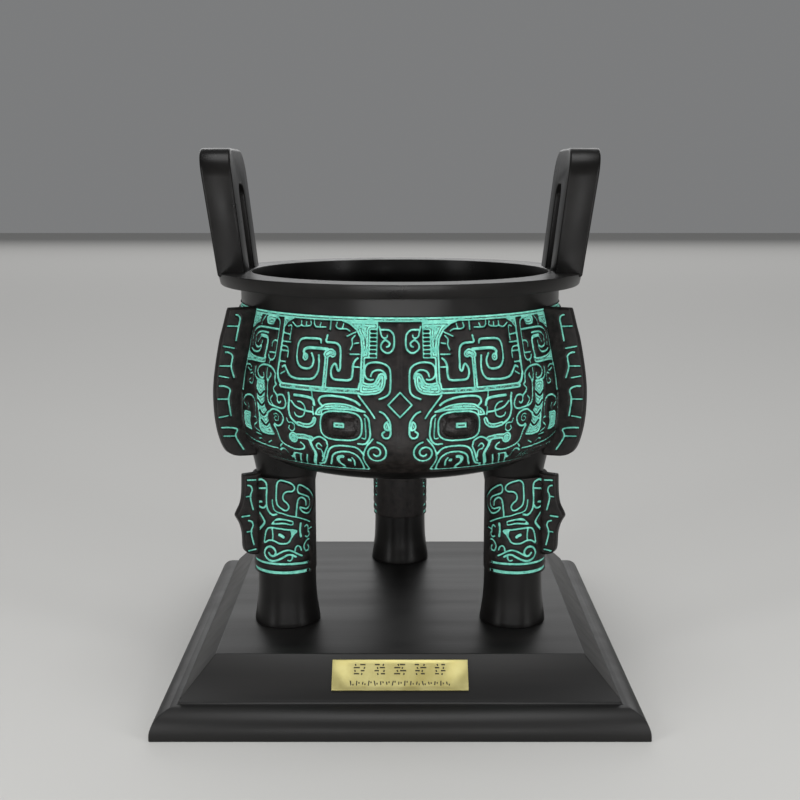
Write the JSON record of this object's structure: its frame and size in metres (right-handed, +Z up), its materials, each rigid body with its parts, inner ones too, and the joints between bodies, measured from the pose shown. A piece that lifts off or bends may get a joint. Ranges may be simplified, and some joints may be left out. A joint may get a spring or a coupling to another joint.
{
  "type": "ding vessel",
  "caption": "Round ritual ding vessel of dark bronze with animal masks, upright ears and slender legs, standing on a moulded black wooden plinth with a small nameplate.",
  "frame": {"origin": "middle of the plinth's underside, on the surface that it stands on", "axes": "+Z up through the vessel, -Y towards the front with the nameplate, +X to the viewer's right"},
  "size_m": [0.18, 0.18, 0.2095],
  "materials": {
    "plinth": "black satin lacquer",
    "bronze": "black semi-gloss patina, the sunken lines of the masks painted turquoise",
    "plate": "satin gold"
  },
  "bodies": {
    "root": {"plinth": "plinth", "ding_vessel": "bronze", "nameplate": "plate"}
  },
  "joints": []
}
